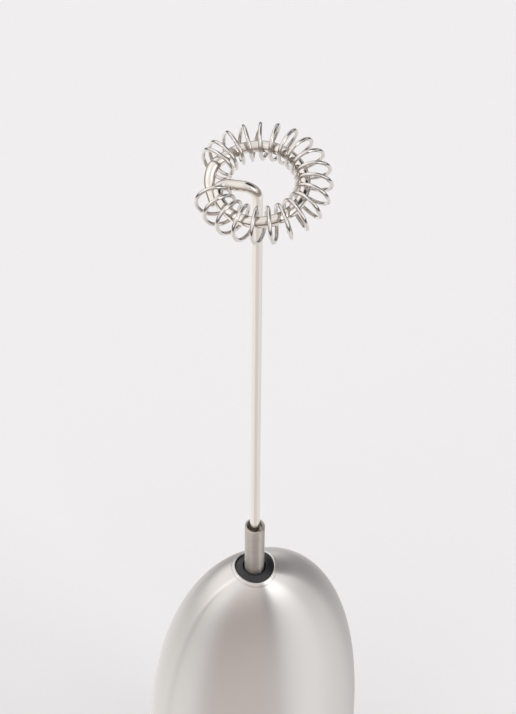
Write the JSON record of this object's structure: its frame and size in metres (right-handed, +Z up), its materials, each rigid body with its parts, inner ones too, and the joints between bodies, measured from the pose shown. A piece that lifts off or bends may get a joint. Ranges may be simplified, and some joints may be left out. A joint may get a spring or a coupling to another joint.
{
  "type": "milk frother",
  "caption": "Battery milk frother: an oval steel handle with a domed nose, a thin wire mast and a ring whisk wound with a spring.",
  "frame": {"origin": "middle of the foot's underside, on the mast's axis; the frother stands upright on it", "axes": "+Z up along the mast, X along the wide side of the oval handle, -Y the side with the push button"},
  "size_m": [0.0476, 0.0304, 0.2303],
  "materials": {
    "shell_steel": "brushed around",
    "black_plastic": "fine satin",
    "button_plastic": "satin",
    "chassis_plastic": "moulded",
    "fastener_steel": "plated",
    "plated_steel": "drawn, plated",
    "nylon": "moulded",
    "bronze": "sintered",
    "ferrite": "ground",
    "carbon": "matt",
    "contact_metal": "stamped",
    "shaft_steel": "ground",
    "core_steel": "stacked sheet",
    "copper": "enamelled",
    "sleeve_steel": "turned",
    "wire_steel": "bright drawn",
    "spring_steel": "bright drawn",
    "cell_jacket": "printed film without marks",
    "red_insulation": "satin",
    "black_insulation": "satin",
    "grey_rubber": "matt"
  },
  "bodies": {
    "handle": {"outer_shell": "shell_steel", "nose_collar": "black_plastic", "button_bezel": "black_plastic", "chassis_front": "chassis_plastic", "chassis_back": "chassis_plastic", "chassis_screws": "fastener_steel", "motor_can": "plated_steel", "motor_end_bell": "nylon", "motor_front_bearing": "bronze", "motor_rear_bearing": "bronze", "motor_magnets": "ferrite", "motor_brushes": "carbon", "motor_terminals": "contact_metal", "button_spring": "spring_steel", "switch_contact": "contact_metal", "positive_contact": "contact_metal", "negative_contact": "contact_metal", "negative_spring": "spring_steel", "cell_left": "cell_jacket", "cell_right": "cell_jacket", "lead_switch": "red_insulation", "lead_battery": "black_insulation"},
    "whisk": {"motor_shaft": "shaft_steel", "rotor_core": "core_steel", "rotor_windings": "copper", "commutator": "copper", "coupling_sleeve": "sleeve_steel", "whisk_wire": "wire_steel", "whisk_spring": "wire_steel"},
    "button": {"push_button": "button_plastic", "shorting_plate": "contact_metal"},
    "base": {"base_cover": "black_plastic", "foot_pad": "grey_rubber", "bridge_contact": "contact_metal", "bridge_spring": "spring_steel"}
  },
  "joints": [
    {"name": "whisk_spin", "type": "hinge", "parent": "handle", "child": "whisk", "pos_m": [0, 0, 0.1], "axis": [0, 0, 1], "continuous": true},
    {"name": "button_press", "type": "slide", "parent": "handle", "child": "button", "axis": [0, 1, 0], "range_m": [0, 0.0012], "stiffness_N_per_m": 400, "springref_m": -0.002, "deforming": ["button_spring"]},
    {"name": "cover_pull", "type": "slide", "parent": "handle", "child": "base", "axis": [0, 0, -1], "range_m": [0, 0.01], "deforming": ["bridge_spring"]}
  ]
}
